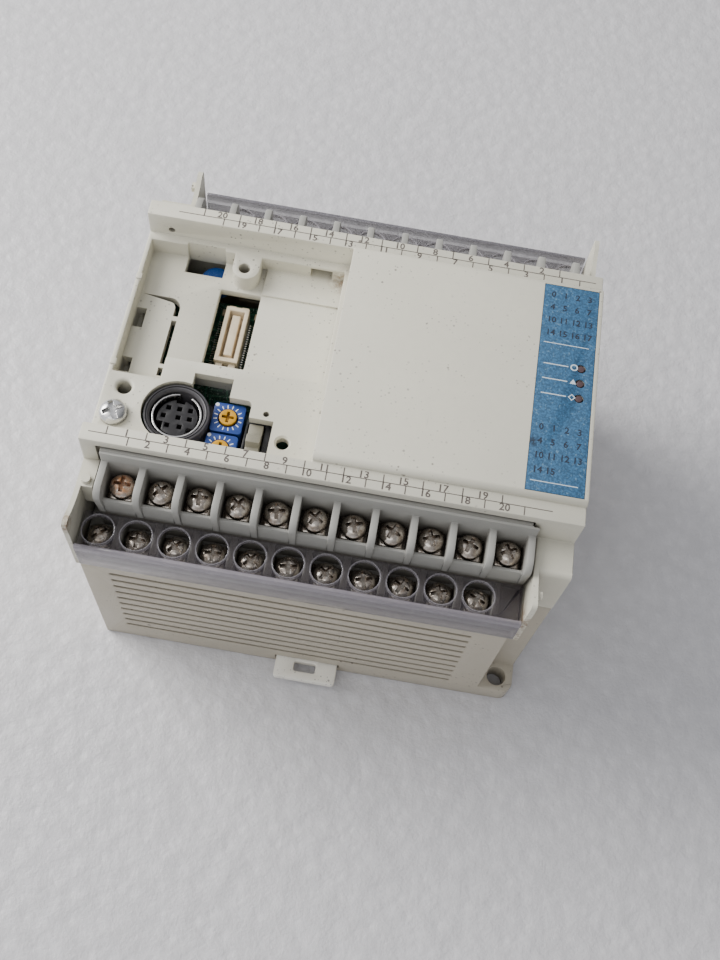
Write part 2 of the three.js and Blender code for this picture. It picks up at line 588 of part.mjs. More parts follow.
place("transformer_core", cut(block([-40, -14], CORE_Y, [ON_LOW, 40]),
  WINDOWS.map((x) => block(x, [-20, 20], WINDOW_Z))), 0x3a3a3c, 0.5, 0.4);
place("transformer_winding", transformerWinding(), 0xd8b64a, 0.5);
const RELAYS = 4;
const RELAY_FIRST = -8;
const RELAY_PITCH = 12;
for (let i = 0; i < RELAYS; i += 1) {
  const x = RELAY_FIRST + i * RELAY_PITCH;
  place(`relay_${i + 1}`, raised(roundedBox([x, x + 10], [-30, -12], 0.6), [ON_LOW, 31], 2), 0x24262c, 0.4);
}
place("bulk_capacitor", post(8, 14, [ON_LOW, 42], 8, 28), 0x1f2530, 0.35);
const DISC = { z: [57.2, 60.2], r: 3.4 };
const discLeads = post(-35, 22.4, [ON_LOW, DISC.z[0] + 1], 1, 8);
place("disc_capacitor", discLeads.add(post(-34.4, 21.4, DISC.z, DISC.r)), 0x2457b8, 0.35);

export default controller;
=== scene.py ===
"""The finished look of a rail-mounted programmable controller.

Every piece is in metres in the controller's own frame: the rail runs along X, and +Z points away from it.
"""
import math

import bpy
from bpy.props import FloatProperty, FloatVectorProperty, PointerProperty
from mathutils import Matrix, Vector


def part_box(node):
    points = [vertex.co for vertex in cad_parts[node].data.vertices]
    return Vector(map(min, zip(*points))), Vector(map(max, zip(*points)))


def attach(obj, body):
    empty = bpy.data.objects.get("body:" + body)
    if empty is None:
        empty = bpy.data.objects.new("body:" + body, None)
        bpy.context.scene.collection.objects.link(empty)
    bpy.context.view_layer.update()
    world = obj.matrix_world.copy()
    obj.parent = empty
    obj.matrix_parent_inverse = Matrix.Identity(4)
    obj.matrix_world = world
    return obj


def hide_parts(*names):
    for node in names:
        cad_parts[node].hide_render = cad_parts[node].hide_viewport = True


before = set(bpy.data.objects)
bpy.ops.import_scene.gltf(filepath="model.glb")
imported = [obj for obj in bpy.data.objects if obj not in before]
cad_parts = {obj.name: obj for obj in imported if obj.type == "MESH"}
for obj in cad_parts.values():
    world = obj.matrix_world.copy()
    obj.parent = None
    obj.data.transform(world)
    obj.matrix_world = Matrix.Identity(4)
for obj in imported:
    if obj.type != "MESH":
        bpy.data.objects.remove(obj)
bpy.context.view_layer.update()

bl_info = {
    "name": "Rail-mounted controller",
    "version": (1, 0, 0),
    "blender": (4, 5, 0),
    "location": "View3D > Sidebar > Controller",
    "description": "Moulded case, terminals, port, trimmers and label of a rail-mounted controller",
    "category": "Object",
}

MM = 0.001
ROW = 11  # terminals in a row


# ---- sizes and colours ----

def length(name, description, mm):
    return FloatProperty(name=name, description=description, default=mm * MM, unit="LENGTH",
                         subtype="DISTANCE")


def colour(name, description, rgb):
    return FloatVectorProperty(name=name, description=description, default=rgb, size=3, subtype="COLOR",
                               min=0, max=1)


def share(name, description, value):
    return FloatProperty(name=name, description=description, default=value, min=0, max=1, subtype="FACTOR")


class CaseSettings(bpy.types.PropertyGroup):
    edge: length("Edge radius", "Radius of the moulded edges", 0.3)
    upper: colour("Upper housing", "Plastic of the upper housing", (0.685, 0.66, 0.55))
    lower: colour("Lower case", "Plastic of the lower case", (0.5, 0.455, 0.365))
    latch: colour("Latch", "Plastic of the rail latch", (0.93, 0.9, 0.8))
    wear: share("Wear", "How strongly specks, stains and scuffs show", 0.8)
    print_colour: colour("Strip print", "Ink of the terminal numbers", (0.1, 0.085, 0.075))
    digit: length("Digit height", "Height of the terminal numbers", 1.6)


class TerminalSettings(bpy.types.PropertyGroup):
    pitch: length("Pitch", "Spacing of the terminals", 7.83)
    head: length("Screw head radius", "Radius of a terminal screw's head", 2.6)
    washer: length("Clamp washer", "Side of the square clamp washer", 5.3)
    block: colour("Terminal block", "Plastic of the terminal blocks", (0.37, 0.365, 0.335))
    guard: colour("Guard", "Tint of the clear guards", (0.075, 0.062, 0.075))
    guard_body: share("Guard density", "How much the guards hide what is behind them", 0.22)
    metal: colour("Plating", "Nickel plate of the screws", (0.6, 0.55, 0.49))
    rust: colour("Rust", "Rust on the first screw", (0.62, 0.24, 0.05))


class ControlSettings(bpy.types.PropertyGroup):
    trimmer: colour("Trimmer body", "Plastic of the trimmer bodies", (0.02, 0.06, 0.26))
    rotor: colour("Trimmer rotor", "Plastic of the trimmer rotors", (0.64, 0.33, 0.012))
    socket: colour("Socket", "Plastic of the port socket", (0.04, 0.038, 0.042))
    switch: colour("Switch lever", "Plastic of the run switch's lever", (0.25, 0.235, 0.18))
    connector: colour("Option connector", "Plastic of the option connector", (0.76, 0.64, 0.46))
    board: colour("Board", "Solder mask of the boards", (0.012, 0.045, 0.026))


class LabelSettings(bpy.types.PropertyGroup):
    film: colour("Film", "Blue of the status label", (0.036, 0.115, 0.22))
    ink: colour("Dark ink", "Ink of the channel numbers", (0.02, 0.025, 0.04))
    rule: colour("Light ink", "Ink of the rules and signs", (0.62, 0.7, 0.76))
    digit: length("Digit height", "Height of the channel numbers", 1.45)


class StageSettings(bpy.types.PropertyGroup):
    lens: FloatProperty(name="Lens", description="Focal length", default=41.55, unit="CAMERA")
    place: FloatVectorProperty(name="Camera place", description="Where the camera stands", size=3,
                               default=(6.3 * MM, -124.1 * MM, 266.4 * MM), subtype="TRANSLATION",
                               unit="LENGTH")
    turn: FloatVectorProperty(name="Camera turn", description="Which way the camera looks", size=3,
                              default=tuple(math.radians(a) for a in (26.035, -4.174, 8.998)),
                              subtype="EULER", unit="ROTATION")
    floor: colour("Floor", "Colour of the floor", (0.66, 0.65, 0.665))
    room: FloatProperty(name="Room light", description="Strength of the light from all round", default=0.98,
                        min=0)
    key: FloatProperty(name="Window light", description="Power of the large light on the left", default=8.8,
                       min=0, unit="POWER")


def settings():
    return bpy.context.scene.controller


class ControllerSettings(bpy.types.PropertyGroup):
    case: PointerProperty(type=CaseSettings, name="Case", description="The two mouldings and the latch")
    terminals: PointerProperty(type=TerminalSettings, name="Terminals", description="Blocks, guards, screws")
    controls: PointerProperty(type=ControlSettings, name="Controls", description="Port, trimmers, switch")
    label: PointerProperty(type=LabelSettings, name="Label", description="The status label")
    stage: PointerProperty(type=StageSettings, name="Stage", description="Floor, light and camera")


# ---- materials ----

class Value:
    """A socket of a material; an expression on values adds the nodes that work it out."""

    def __init__(self, finish, socket):
        self.finish = finish
        self.socket = socket

    def calc(self, operation, *others, clamp=False):
        inputs = dict(enumerate((self, *others)))
        return self.finish.node("ShaderNodeMath", {"operation": operation, "use_clamp": clamp}, inputs)

    def __add__(self, other): return self.calc("ADD", other)
    def __radd__(self, other): return self.calc("ADD", other)
    def __sub__(self, other): return self.calc("SUBTRACT", other)
    def __rsub__(self, other): return self.finish.value(other).calc("SUBTRACT", self)
    def __mul__(self, other): return self.calc("MULTIPLY", other)
    def __rmul__(self, other): return self.calc("MULTIPLY", other)
    def __truediv__(self, other): return self.calc("DIVIDE", other)
    def __abs__(self): return self.calc("ABSOLUTE")

    def above(self, level): return self.calc("GREATER_THAN", level)
    def below(self, level): return self.calc("LESS_THAN", level)

    def ramp(self, low, high):
        """0 at low, 1 at high and straight between them."""
        return self.finish.node("ShaderNodeMapRange", {"clamp": True},
                                {"Value": self, "From Min": low, "From Max": high}, "Result")


class Finish:
    """One material, built node by node."""

    def __init__(self, name):
        self.material = bpy.data.materials.new(name)
        self.material.use_nodes = True
        self.tree = self.material.node_tree
        self.tree.nodes.clear()

    def node(self, kind, choices=None, inputs=None, output=0):
        made = self.tree.nodes.new(kind)
        for key, choice in (choices or {}).items():
            if key == "stops":
                ramp = made.color_ramp
                while len(ramp.elements) < len(choice):
                    ramp.elements.new(0.5)
                for element, (at, rgb) in zip(ramp.elements, choice):
                    element.position, element.color = at, (*rgb, 1)
            else:
                setattr(made, key, choice)
        for key, given in (inputs or {}).items():
            socket = made.inputs[key]
            if isinstance(given, Value):
                self.tree.links.new(given.socket, socket)
            elif socket.type == "RGBA" and len(given) == 3:
                socket.default_value = (*given, 1)
            else:
                socket.default_value = given
        return Value(self, made.outputs[output])

    def value(self, number):
        return self.node("ShaderNodeMath", {"operation": "ADD"}, {0: number, 1: 0})

    def place(self):
        return self.node("ShaderNodeTexCoord", output="Object")

    def axes(self, place=None):
        """X, Y and Z of a place in millimetres."""
        split = self.node("ShaderNodeSeparateXYZ", inputs={0: place or self.place()})
        return [Value(self, out) / MM for out in split.socket.node.outputs]

    def moved(self, centre, turn=0.0, stretch=(1, 1, 1)):
        shifted = self.node("ShaderNodeVectorMath", {"operation": "SUBTRACT"}, {0: self.place(), 1: centre})
        return self.node("ShaderNodeMapping", inputs={"Vector": shifted, "Rotation": (0, 0, turn),
                                                      "Scale": stretch})

    def noise(self, size_mm, detail=2.0, roughness=0.5, at=None):
        return self.node("ShaderNodeTexNoise", inputs={
            "Vector": at or self.place(), "Scale": 1 / (size_mm * MM), "Detail": detail,
            "Roughness": roughness})

    def cells(self, size_mm, choices=None):
        return self.node("ShaderNodeTexVoronoi", choices, {
            "Vector": self.place(), "Scale": 1 / (size_mm * MM)})

    def mix(self, amount, first, second):
        made = self.tree.nodes.new("ShaderNodeMix")
        made.data_type = "RGBA"
        colours = [s for s in made.inputs if s.type == "RGBA"]
        for socket, given in ((made.inputs[0], amount), (colours[0], first), (colours[1], second)):
            if isinstance(given, Value):
                self.tree.links.new(given.socket, socket)
            else:
                socket.default_value = (*given, 1) if hasattr(given, "__len__") else given
        return Value(self, next(s for s in made.outputs if s.type == "RGBA"))

    def bump(self, height, depth_mm, strength):
        return self.node("ShaderNodeBump", inputs={
            "Height": height, "Distance": depth_mm * MM, "Strength": strength})

    def corners(self, reach_mm):
        """Near 0 deep in corners, and 1 in the open; the materials use it to paint shade."""
        return self.node("ShaderNodeAmbientOcclusion", {"samples": 4}, {"Distance": reach_mm * MM}, "AO")

    def near(self, centre, radius):
        """1 at a place given in millimetres, falling to 0 at the radius."""
        gap = self.node("ShaderNodeVectorMath", {"operation": "DISTANCE"},
                        {0: self.place(), 1: tuple(c * MM for c in centre)}, "Value")
        return (gap / MM).ramp(radius, 0)

    def surface(self, **inputs):
        named = {key.replace("_", " ").title().replace("Ior", "IOR"): given for key, given in inputs.items()}
        shader = self.node("ShaderNodeBsdfPrincipled", inputs=named)
        self.node_out(shader)
        return self.material

    def node_out(self, shader):
        out = self.tree.nodes.new("ShaderNodeOutputMaterial")
        self.tree.links.new(shader.socket, out.inputs["Surface"])


def toned(rgb, factor):
    return tuple(min(1, c * factor) for c in rgb)


def moulded_plastic(name, rgb, rough=0.5, painted_corner_shade=0.5, reach=3.5, scuffs=True, stains=()):
    """Grained moulding: uneven tone, painted shade in the corners, dark specks, pale scuffs and brown stains.
    """
    wear = settings().case.wear
    f = Finish(name)
    tone = f.mix(f.noise(26, 3).ramp(0.3, 0.7), toned(rgb, 0.955), toned(rgb, 1.035))
    tone = f.mix(f.noise(2.2, 4, 0.65).ramp(0.35, 0.75) * 0.35, tone, toned(rgb, 0.9))
    # Painted shade: the corners are darkened towards dark brown by ambient occlusion.
    tone = f.mix((1 - f.corners(reach)).ramp(0.25, 1) * painted_corner_shade, tone, (0.085, 0.068, 0.05))
    if scuffs:
        clusters = f.noise(15, 2).ramp(0.44, 0.62)
        specks = (f.cells(2.6).below(0.1) + f.cells(1.25).below(0.15) * 0.7) * clusters
        foot = 1 - abs(f.axes()[0] + 5).ramp(0.5, 6)
        specks = (specks + f.cells(1.7).below(0.13) * foot * f.noise(5, 1).ramp(0.45, 0.6)).calc("MINIMUM", 1)
        large = f.cells(19).below(0.022)
        tone = f.mix((specks * 0.75 + large * 0.9) * wear, tone, (0.07, 0.052, 0.04))
        streak = f.noise(1.6, 2, at=f.moved((0, 0, 0), 0.7, (1, 0.07, 1))).ramp(0.71, 0.76)
        tone = f.mix(streak * f.noise(9, 1).ramp(0.5, 0.62) * 0.4 * wear, tone, toned(rgb, 0.6))
    for centre, radius, rgb_stain in stains:
        amount = f.near(centre, radius) * f.noise(1.1, 4, 0.7).ramp(0.38, 0.6)
        tone = f.mix(amount.calc("MULTIPLY", 1.5, clamp=True) * wear, tone, rgb_stain)
    grain = f.noise(0.32, 3, 0.6)
    gloss = f.noise(7, 3).ramp(0.3, 0.7) * 0.12 + (rough - 0.06)
    return f.surface(base_color=tone, roughness=gloss, specular_ior_level=0.42,
                     normal=f.bump(grain, 0.03, 0.45))


def clear_plastic(name, sign):
    """Smoky clear sheet: paler and denser at its rim and round its holes, with dust lying on it; the top edge
    of the rim carries a painted highlight on the front guard and painted shade on the back guard.
    """
    s = settings().terminals
    f = Finish(name)
    x, y, z = f.axes()
    dust = f.noise(0.45, 4, 0.75).ramp(0.5, 0.75) * f.noise(6, 2).ramp(0.35, 0.65)
    front = abs(y).ramp(45.5, 45.9)
    rim = front * z.ramp(56.2, 57.4)
    pitch = s.pitch / MM
    dx = (x * sign + (45.2 + pitch / 2)).calc("FLOORED_MODULO", pitch) - pitch / 2
    dy = y * sign + 41.6
    radius = (dx * dx + dy * dy).calc("SQRT")
    ring = (1 - abs(radius - 3.25).ramp(0.05, 0.3)) * (1 - front) * (x * sign).below(37)
    tone = f.mix(front * 0.75, s.guard, (0.2, 0.18, 0.21))
    # Painted highlight and painted shade: the rim's top edge is pale on the front guard and dark on the back
    # guard.
    tone = f.mix(ring * 0.9, f.mix(rim * 0.8, tone, (0.36, 0.33, 0.37) if sign > 0 else (0.1, 0.09, 0.11)),
                 (0.36, 0.34, 0.37))
    tone = f.mix(dust * 0.5, tone, (0.42, 0.39, 0.37))
    edge = f.node("ShaderNodeLayerWeight", inputs={"Blend": 0.35}, output="Facing").ramp(0.35, 0.95)
    cover = front * 0.26 + rim * 0.16 + dust * 0.16 + edge * 0.25 + ring * 0.4 + s.guard_body
    return f.surface(base_color=tone, alpha=cover.calc("MINIMUM", 0.96), roughness=dust * 0.3 + 0.1,
                     specular_ior_level=0.75, coat_weight=0.35, coat_roughness=0.06)


def plated_metal(name, rgb, tarnish=0.5, rusty=()):
    """Plated steel, brown where the plating is thin, with painted shade in its hollows."""
    f = Finish(name)
    patches = f.noise(1.3, 4, 0.65).ramp(0.4, 0.66)
    tone = f.mix(patches * tarnish, rgb, (0.2, 0.135, 0.085))
    # Painted shade: hollows and corners are darkened almost to black by ambient occlusion.
    tone = f.mix((1 - f.corners(1.2)).ramp(0.3, 1) * 0.8, tone, (0.03, 0.022, 0.016))
    dull = patches * 0.2 + 0.16
    metal = 1.0
    for centre, radius in rusty:
        spot = f.near(centre, radius) * f.noise(0.9, 4, 0.7).ramp(0.36, 0.56)
        tone = f.mix(spot, tone, settings().terminals.rust)
        dull = dull + spot * 0.3
        metal = 1 - spot * 0.7
    scratch = f.noise(0.35, 2, at=f.moved((0, 0, 0), 0.5, (1, 0.12, 1)))
    return f.surface(base_color=tone, metallic=metal, roughness=dull, normal=f.bump(scratch, 0.02, 0.5))


def circuit_board(name, rgb):
    """Dark solder mask over copper tracks, with pads and faint print."""
    f = Finish(name)
    x, y, z = f.axes()
    wobble = f.noise(6, 0) * 3
    lanes = abs((x + wobble).calc("FLOORED_MODULO", 1.1) - 0.55).below(0.2)
    cross = abs((y + wobble).calc("FLOORED_MODULO", 1.6) - 0.8).below(0.22)
    choose = f.noise(4, 0).above(0.5)
    tracks = lanes * choose + cross * (1 - choose)
    tone = f.mix(tracks * 0.8, rgb, toned(rgb, 3))
    pads = f.cells(2.1, choices={"distance": "CHEBYCHEV"}).below(0.2) * f.noise(5, 1).above(0.52)
    tone = f.mix(pads, tone, (0.42, 0.42, 0.36))
    legend = f.noise(0.55, 3, 0.8).above(0.6) * f.noise(3, 0).above(0.5)
    tone = f.mix(legend * 0.8, tone, (0.5, 0.56, 0.5))
    return f.surface(base_color=tone, roughness=0.32 - pads * 0.08, metallic=pads * 0.6,
                     normal=f.bump(tracks, 0.03, 0.6))


def smooth_plastic(name, rgb, rough=0.4, dust=0.25, print_mask=None):
    """Fine plastic with dust specks, painted shade in the corners, and print where a mask says."""
    f = Finish(name)
    tone = f.mix(f.noise(3, 3).ramp(0.3, 0.7), toned(rgb, 0.88), toned(rgb, 1.1))
    speck = f.noise(0.25, 3, 0.7).ramp(0.58, 0.75)
    tone = f.mix(speck * dust, tone, (0.5, 0.47, 0.42))
    # Painted shade: the corners are darkened by ambient occlusion.
    tone = f.mix((1 - f.corners(0.8)).ramp(0.15, 0.7) * 0.8, tone, toned(rgb, 0.1))
    if print_mask:
        tone = f.mix(print_mask(f), tone, (0.85, 0.86, 0.84))
    return f.surface(base_color=tone, roughness=speck * 0.2 + rough,
                     normal=f.bump(f.noise(0.3, 2), 0.02, 0.4))


def dial_print(centre, ring, ticks, dot):
    """Ticks round a dial, each as wide at its root as at its tip, and one dot."""
    def mask(f):
        x, y, z = f.axes()
        x, y = x - centre[0], y - centre[1]
        radius = (x * x + y * y).calc("SQRT")
        angle = y.calc("ARCTAN2", x)
        spacing = 2 * math.pi / ticks
        off = abs(angle.calc("FLOORED_MODULO", spacing) - spacing / 2) * radius
        marks = off.below(0.1) * radius.above(ring[0]) * radius.below(ring[1])
        dx, dy = x - dot[0], y - dot[1]
        round_dot = (dx * dx + dy * dy).below(0.4 ** 2)
        return (marks + round_dot).calc("MINIMUM", 1) * z.above(64.7)
    return mask


def label_film(name):
    """Blue film with a pale speckle."""
    s = settings().label
    f = Finish(name)
    speckle = f.noise(0.42, 3, 0.7)
    tone = f.mix(speckle.ramp(0.42, 0.62), toned(s.film, 0.68), toned(s.film, 1.35))
    tone = f.mix(f.noise(0.55, 2, 0.6).ramp(0.6, 0.72) * 0.4, tone, (0.25, 0.4, 0.52))
    tone = f.mix(f.near((38, -14.2, 75), 1.7) * f.noise(0.8, 3).ramp(0.4, 0.5), tone, (0.01, 0.012, 0.02))
    return f.surface(base_color=tone, roughness=0.5, specular_ior_level=0.4,
                     normal=f.bump(speckle, 0.02, 0.5))


def ink(name, rgb, worn=0.35):
    f = Finish(name)
    thin = f.noise(0.3, 3, 0.7).ramp(0.45, 0.7)
    tone = f.mix(thin * worn, rgb, toned(rgb, 1.0 if sum(rgb) > 1.5 else 2.6))
    return f.surface(base_color=tone, roughness=0.55)


def lens_plastic(name):
    f = Finish(name)
    tone = f.mix(f.noise(0.8, 2), (0.05, 0.03, 0.035), (0.11, 0.06, 0.06))
    return f.surface(base_color=tone, roughness=0.3, coat_weight=0.4)


# ---- modelling ----

def pick(*objects):
    """These objects alone are selected, and the first is active."""
    bpy.ops.object.select_all(action="DESELECT")
    for o in objects:
        o.select_set(True)
    bpy.context.view_layer.objects.active = objects[0]


def settle(o):
    """The object's place goes into its mesh."""
    pick(o)
    bpy.ops.object.transform_apply(location=True, rotation=True, scale=True)


def apply_all(o):
    pick(o)
    for name in [m.name for m in o.modifiers]:
        bpy.ops.object.modifier_apply(modifier=name)


def edit(o, elements, test, *steps):
    """Selects the elements that pass the test, then runs the steps on them in edit mode."""
    pick(o)
    bpy.ops.object.mode_set(mode="EDIT")
    bpy.ops.mesh.select_mode(type=elements)
    bpy.ops.mesh.select_all(action="DESELECT")
    bpy.ops.object.mode_set(mode="OBJECT")
    found = {"FACE": o.data.polygons, "EDGE": o.data.edges, "VERT": o.data.vertices}[elements]
    for element in found:
        element.select = bool(test(element))
    bpy.ops.object.mode_set(mode="EDIT")
    for step in steps:
        step()
    bpy.ops.object.mode_set(mode="OBJECT")


def facing(direction, limit=0.9):
    return lambda face: face.normal.dot(Vector(direction)) > limit


def rounded(o, width_mm, segments=2, angle=35, clamp=True, test=None):
    """Soft edges: every edge sharper than the angle, or only those of them that pass the test."""
    bevel = o.modifiers.new("edges", "BEVEL")
    bevel.width, bevel.segments = width_mm * MM, segments
    bevel.limit_method, bevel.angle_limit = "ANGLE", math.radians(angle)
    if test:
        edit(o, "EDGE", lambda e: False,
             lambda: bpy.ops.mesh.edges_select_sharp(sharpness=math.radians(angle)))
        weights = o.data.attributes.new("bevel_weight_edge", "FLOAT", "EDGE")
        for edge, weight in zip(o.data.edges, weights.data):
            ends = [o.data.vertices[v].co / MM for v in edge.vertices]
            weight.value = float(edge.select and test(*ends))
        bevel.limit_method = "WEIGHT"
    bevel.use_clamp_overlap = clamp
    bevel.harden_normals = False
    apply_all(o)


def smoothed(o, angle=38):
    pick(o)
    bpy.ops.object.shade_smooth_by_angle(angle=math.radians(angle))


def brick(name, x, y, z):
    """A block between limits in millimetres, ready to be shaped."""
    centre = [(a + b) / 2 * MM for a, b in (x, y, z)]
    bpy.ops.object.select_all(action="DESELECT")
    bpy.ops.mesh.primitive_cube_add(size=1, location=centre)
    o = bpy.context.object
    o.name = name
    o.scale = [(b - a) * MM for a, b in (x, y, z)]
    settle(o)
    return o


def round_bar(name, centre, z, radius, sides=24):
    bpy.ops.object.select_all(action="DESELECT")
    bpy.ops.mesh.primitive_cylinder_add(vertices=sides, radius=radius * MM, depth=(z[1] - z[0]) * MM,
                                        location=(centre[0] * MM, centre[1] * MM, (z[0] + z[1]) / 2 * MM))
    o = bpy.context.object
    o.name = name
    settle(o)
    return o


def carve(o, *tools):
    """Takes the tools out of the object."""
    for tool in tools:
        cutter = o.modifiers.new("carve", "BOOLEAN")
        cutter.operation, cutter.object, cutter.solver = "DIFFERENCE", tool, "EXACT"
    apply_all(o)
    for tool in tools:
        bpy.data.objects.remove(tool)


def merge(name, objects):
    pick(*objects)
    if len(objects) > 1:
        bpy.ops.object.join()
    o = bpy.context.view_layer.objects.active
    o.name = name
    return o


def copied(pattern, name, x, y, z=0.0, turn=0.0):
    """A copy of a pattern with a mesh of its own, turned about its own Z and moved, in millimetres."""
    o = bpy.data.objects.new(name, pattern.data.copy())
    bpy.context.scene.collection.objects.link(o)
    o.data.transform(Matrix.Translation(Vector((x, y, z)) * MM) @ Matrix.Rotation(turn, 4, "Z"))
    return o


def discard(*objects):
    for o in objects:
        bpy.data.objects.remove(o)


def dress(o, material, body="case"):
    o.data.materials.clear()
    o.data.materials.append(material)
    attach(o, body)
    return o


def from_node(node, name, edge_mm=0.0, segments=2, smooth=32, test=None):
    """A copy of a CAD node as one joined skin with soft edges, standing for the node."""
    o = bpy.data.objects.new(name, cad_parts[node].data.copy())
    bpy.context.scene.collection.objects.link(o)
    pick(o)
    if o.data.has_custom_normals:
        bpy.ops.mesh.customdata_custom_splitnormals_clear()
    bpy.ops.object.mode_set(mode="EDIT")
    bpy.ops.mesh.select_all(action="SELECT")
    bpy.ops.mesh.remove_doubles(threshold=0.002 * MM)
    bpy.ops.mesh.dissolve_limited(angle_limit=math.radians(1))
    bpy.ops.object.mode_set(mode="OBJECT")
    if edge_mm:
        rounded(o, edge_mm, segments, clamp=False, test=test)
    smoothed(o, smooth)
    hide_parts(node)
    return o


def digits(text, height, x, y, z, weight=0.025):
    """Flat figures centred on a place, in millimetres."""
    bpy.ops.object.select_all(action="DESELECT")
    bpy.ops.object.text_add(location=(x * MM, y * MM, z * MM))
    o = bpy.context.object
    o.data.body, o.data.size, o.data.resolution_u = text, height / 0.72 * MM, 2
    o.data.align_x, o.data.align_y = "CENTER", "CENTER"
    o.data.extrude, o.data.offset = 0.01 * MM, height * weight * MM
    bpy.ops.object.convert(target="MESH")
    settle(o)
    return o


def rule(x, y, z, thick=0.02):
    """A printed line or bar, a few hundredths of a millimetre thick."""
    return brick("rule", x, y, (z, z + thick))


# ---- operators ----

def box_mm(node):
    low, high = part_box(node)
    return [(low[i] / MM, high[i] / MM) for i in range(3)]


class CONTROLLER_OT_cases(bpy.types.Operator):
    """Model the two case mouldings with soft edges"""
    bl_idname = "controller.cases"
    bl_label = "Case mouldings"

    def execute(self, context):
        s = settings().case
        brown = (0.2, 0.1, 0.035)
        low_stains = [((42, -45.5, 49), 4, brown), ((-49, -42, 48), 6, (0.24, 0.16, 0.08))]
        stains = [((-49.4, -45.4, 66), 3.6, brown), ((43.6, -45.4, 57), 5.5, brown), *low_stains,
                  ((-6, 24, 64), 4, (0.28, 0.2, 0.12))]
        keep_sharp = (  # zones with edges too close together for a radius: slots, label bed, windows, ears
            ((-49.6, -38.6), (-13.5, 13.5), (60, 63.6)),
            ((37, 49.5), (-25.4, 25), (70, 76)),
            ((-42, -9), (-26.4, -6.5), (60, 67.5)),
            ((-51, -4), (-26.3, -26.1), (67.2, 67.4)),
            ((-50.5, -46), (-48, -28.5), (47, 68)), ((46, 50.5), (28.5, 48), (47, 68)),
            ((41, 50.5), (-46.5, -36), (47, 68)), ((-50.5, -41), (36, 46.5), (47, 68)),
        )

        def soft(*ends):
            return not any(all(low < v < high for p in ends for v, (low, high) in zip(p, zone))
                           for zone in keep_sharp)

        upper = from_node("top_case", "upper_housing", s.edge / MM, test=soft)
        hole = round_bar("pin_hole", (0, 0), (-2, 2), 0.75, 20)
        hole.location, hole.rotation_euler = Vector((-44.9, 26.2, 69)) * MM, (math.pi / 2, 0, 0)
        settle(hole)
        carve(upper, hole)
        smoothed(upper, 32)
        # The upper housing's corners get strong painted shade.
        dress(upper, moulded_plastic("upper plastic", s.upper, painted_corner_shade=0.75, stains=stains))
        lower = from_node("base_case", "lower_case", s.edge / MM)
        dress(lower, moulded_plastic("lower plastic", s.lower, stains=low_stains))
        return {"FINISHED"}


class CONTROLLER_OT_latch(bpy.types.Operator):
    """Model the sliding rail latch"""
    bl_idname = "controller.latch"
    bl_label = "Rail latch"

    def execute(self, context):
        latch = from_node("din_latch", "rail_latch", 0.3)
        # The latch's corners get light painted shade.
        dress(latch, moulded_plastic("latch plastic", settings().case.latch, 0.42, 0.35), "latch")
        return {"FINISHED"}


class CONTROLLER_OT_terminal_blocks(bpy.types.Operator):
    """Model both terminal blocks and their clear guards"""
    bl_idname = "controller.terminal_blocks"
    bl_label = "Terminal blocks and guards"

    def execute(self, context):
        s = settings().terminals
        # The terminal blocks' corners get the strongest painted shade, reaching 4.5 mm.
        plastic = moulded_plastic("terminal plastic", s.block, 0.45, 0.92, 4.5, scuffs=False)
        for side, sign in (("front", 1), ("back", -1)):
            clear = clear_plastic(f"{side} smoky guard", sign)
            dress(from_node(f"{side}_terminal_block", f"{side}_block", 0.22), plastic)
            dress(from_node(f"{side}_terminal_guard", f"{side}_guard", 0.12), clear)
        return {"FINISHED"}


def screw_pattern(radius, height, recess):
    """A pan head on a short shank, with a cross recess; its seat is at Z 0."""
    head = round_bar("screw_pattern", (0, 0), (0, height * 0.45), radius, 32)
    steps = ((0.12, 0.22), (0.2, 0.17), (0.26, 0.09))
    for inset, rise in steps:
        edit(head, "FACE", facing((0, 0, 1)),
             lambda: bpy.ops.mesh.inset(thickness=inset * radius * MM),
             lambda: bpy.ops.transform.translate(value=(0, 0, rise * height * MM)))
    depth = (height * 0.3, height * 2)
    arm, half = recess, recess * 0.24
    carve(head, brick("arm", (-arm, arm), (-half, half), depth),
          brick("arm", (-half, half), (-arm, arm), depth),
          round_bar("pit", (0, 0), depth, recess * 0.42, 12))
    rounded(head, 0.07, 2, 30)
    shank = round_bar("shank", (0, 0), (-5, 0.05), radius * 0.54, 16)
    edit(shank, "FACE", facing((0, 0, -1)), lambda: bpy.ops.mesh.inset(thickness=0.25 * MM),
         lambda: bpy.ops.transform.translate(value=(0, 0, -0.3 * MM)))
    whole = merge("screw_pattern", [head, shank])
    smoothed(whole, 40)
    return whole


def clamp_pattern(side):
    """The square clamp washer under a screw head: rounded at its corners, with a raised middle, and bevelled.
    """
    plate = brick("clamp_pattern", (-side / 2, side / 2), (-side / 2, side / 2), (0, 0.55))
    edit(plate, "EDGE", lambda e: abs((plate.data.vertices[e.vertices[0]].co
                                       - plate.data.vertices[e.vertices[1]].co).z) > 0.3 * MM,
         lambda: bpy.ops.mesh.bevel(offset=0.7 * MM, segments=3, affect="EDGES"))
    edit(plate, "FACE", facing((0, 0, 1)), lambda: bpy.ops.mesh.inset(thickness=0.5 * MM),
         lambda: bpy.ops.transform.translate(value=(0, 0, 0.25 * MM)))
    rounded(plate, 0.08, 2, 25)
    smoothed(plate)
    return plate


def plate_pattern():
    """The terminal's contact plate."""
    plate = brick("plate_pattern", (-3.05, 3.05), (-2.7, 2.9), (0, 0.6))
    rounded(plate, 0.12, 2, 25)
    smoothed(plate)
    return plate


